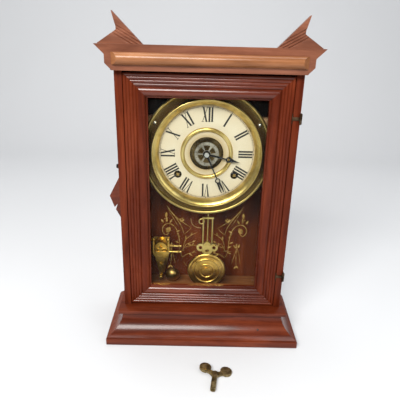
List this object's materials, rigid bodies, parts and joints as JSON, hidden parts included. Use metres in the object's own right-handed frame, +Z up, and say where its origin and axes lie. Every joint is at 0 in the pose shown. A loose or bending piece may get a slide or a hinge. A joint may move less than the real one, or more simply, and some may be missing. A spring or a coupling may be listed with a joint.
{
  "type": "mantel_clock",
  "caption": "Wooden mantel clock with a hinged glazed door, paper dial, pendulum, strike and alarm, and its winding key",
  "frame": {"origin": "centre of the plinth's underside", "axes": "X to the right, Y to the back, Z up"},
  "size_m": [0.264, 0.1922, 0.4246],
  "materials": {
    "mahogany": "satin",
    "mahogany_dark": "gloss",
    "crown_wood": "satin",
    "golden_wood": "satin",
    "back_wood": "matte",
    "brass": "polished",
    "brass_aged": "satin",
    "blackened": "satin",
    "steel": "satin",
    "dial_card": "matte",
    "glass": "gloss"
  },
  "bodies": {
    "case": {"base_plinth": "mahogany_dark", "base_cove_front": "mahogany_dark", "base_cove_sides": "mahogany_dark", "base_step_board": "mahogany_dark", "case_side_left": "mahogany", "case_side_right": "mahogany", "case_floor": "mahogany", "case_top_board": "crown_wood", "case_back_board": "back_wood", "crown_board": "crown_wood", "crown_half_round": "golden_wood", "crown_ornament_left": "crown_wood", "crown_ornament_right": "crown_wood", "side_ornament_left": "mahogany", "dial_blocks": "back_wood", "dial_pan": "brass", "dial_paper": "dial_card", "dial_bezel": "brass", "dial_centre_ring": "brass", "dial_screws": "steel", "hinge_case_leaves": "brass_aged", "movement_plate_front": "brass_aged", "movement_plate_back": "brass_aged", "movement_pillars": "brass_aged", "pillar_nuts": "brass_aged", "suspension_post": "brass_aged", "mainsprings": "steel", "strike_bell": "steel", "alarm_frame": "brass_aged", "alarm_bell": "brass_aged"},
    "door": {"door_stile_left": "mahogany", "door_stile_right": "mahogany", "door_rail_top": "mahogany", "door_rail_bottom": "mahogany", "door_glass": "glass", "glass_beads": "mahogany", "hinge_door_leaves": "brass_aged"},
    "catch": {"catch_knob": "blackened"},
    "minute_work": {"centre_arbor": "brass_aged", "minute_hand": "blackened", "hand_nut": "brass"},
    "minute_wheel": {"minute_wheel": "brass_aged"},
    "hour_work": {"hour_wheel": "brass_aged", "hour_hand": "blackened"},
    "alarm_setting": {"alarm_disc": "steel"},
    "time_great": {"time_great_wheel": "brass_aged"},
    "time_winding": {"time_winding_arbor": "brass_aged"},
    "third": {"third_wheel": "brass_aged"},
    "escape": {"escape_wheel": "brass_aged"},
    "verge": {"verge": "steel"},
    "pendulum": {"pendulum_rods": "brass", "pendulum_casting": "brass", "pendulum_bob": "brass", "rating_nut": "brass"},
    "strike_great": {"strike_great_wheel": "brass_aged"},
    "strike_winding": {"strike_winding_arbor": "brass_aged"},
    "strike_pins": {"strike_pin_wheel": "brass_aged"},
    "hammer": {"strike_hammer": "steel"},
    "alarm_hammer": {"alarm_hammer": "steel"},
    "key": {"winding_key": "brass_aged"}
  },
  "joints": [
    {"name": "door_hinge", "type": "hinge", "parent": "case", "child": "door", "pos_m": [0.1093, -0.0268, 0.20375], "axis": [0, 0, 1], "range_deg": [0, 110]},
    {"name": "catch_pull", "type": "slide", "parent": "case", "child": "catch", "axis": [-1, 0, 0], "range_m": [0, 0.004], "stiffness_N_per_m": 150},
    {"name": "minute_arbor", "type": "hinge", "parent": "case", "child": "minute_work", "pos_m": [0, 0.0105, 0.261], "axis": [0, 1, 0], "continuous": true},
    {"name": "minute_wheel_arbor", "type": "hinge", "parent": "case", "child": "minute_wheel", "pos_m": [-0.01061, 0.0075, 0.27161], "axis": [0, 1, 0], "continuous": true},
    {"name": "hour_arbor", "type": "hinge", "parent": "case", "child": "hour_work", "pos_m": [0, 0.0045, 0.261], "axis": [0, 1, 0], "continuous": true},
    {"name": "alarm_set", "type": "hinge", "parent": "hour_work", "child": "alarm_setting", "pos_m": [0, -0.0055, 0.261], "axis": [0, 1, 0], "continuous": true},
    {"name": "time_great_arbor", "type": "hinge", "parent": "case", "child": "time_great", "pos_m": [0.0367, 0.031, 0.2327], "axis": [0, 1, 0], "continuous": true},
    {"name": "time_winding", "type": "hinge", "parent": "time_great", "child": "time_winding", "pos_m": [0.0367, 0.0105, 0.2327], "axis": [0, 1, 0], "continuous": true},
    {"name": "third_arbor", "type": "hinge", "parent": "case", "child": "third", "pos_m": [-0.00045, 0.0125, 0.2316], "axis": [0, 1, 0], "continuous": true},
    {"name": "escape_arbor", "type": "hinge", "parent": "case", "child": "escape", "pos_m": [0.005, 0.0125, 0.207], "axis": [0, 1, 0], "continuous": true},
    {"name": "verge_pivot", "type": "hinge", "parent": "case", "child": "verge", "pos_m": [0.005, 0.0085, 0.235], "axis": [0, 1, 0], "range_deg": [-4, 4]},
    {"name": "pendulum_swing", "type": "hinge", "parent": "case", "child": "pendulum", "pos_m": [0.005, 0.0055, 0.235], "axis": [0, 1, 0], "range_deg": [-4, 4]},
    {"name": "strike_great_arbor", "type": "hinge", "parent": "case", "child": "strike_great", "pos_m": [-0.0367, 0.034, 0.2327], "axis": [0, 1, 0], "continuous": true},
    {"name": "strike_winding", "type": "hinge", "parent": "strike_great", "child": "strike_winding", "pos_m": [-0.0367, 0.0105, 0.2327], "axis": [0, 1, 0], "continuous": true},
    {"name": "strike_pin_arbor", "type": "hinge", "parent": "case", "child": "strike_pins", "pos_m": [-0.03025, 0.0125, 0.27859], "axis": [0, 1, 0], "continuous": true},
    {"name": "hammer_pivot", "type": "hinge", "parent": "case", "child": "hammer", "pos_m": [-0.038, 0.0125, 0.302], "axis": [0, -1, 0], "range_deg": [-5, 16], "stiffness_Nm_per_rad": 0.01},
    {"name": "alarm_hammer_pivot", "type": "hinge", "parent": "case", "child": "alarm_hammer", "pos_m": [-0.0625, 0.0225, 0.083], "axis": [0, -1, 0], "range_deg": [-8, 10], "stiffness_Nm_per_rad": 0.003},
    {"name": "key_lift", "type": "slide", "parent": "case", "child": "key", "axis": [0, 0, 1], "range_m": [0, 0.15]}
  ],
  "couplings": [
    {"joint": "minute_wheel_arbor", "follows": "minute_arbor", "ratio": -0.33333},
    {"joint": "hour_arbor", "follows": "minute_arbor", "ratio": 0.083333},
    {"joint": "time_great_arbor", "follows": "minute_arbor", "ratio": -0.375},
    {"joint": "third_arbor", "follows": "minute_arbor", "ratio": -6},
    {"joint": "escape_arbor", "follows": "minute_arbor", "ratio": 36},
    {"joint": "verge_pivot", "follows": "pendulum_swing", "ratio": 1},
    {"joint": "strike_pin_arbor", "follows": "strike_great_arbor", "ratio": -2.6667}
  ]
}
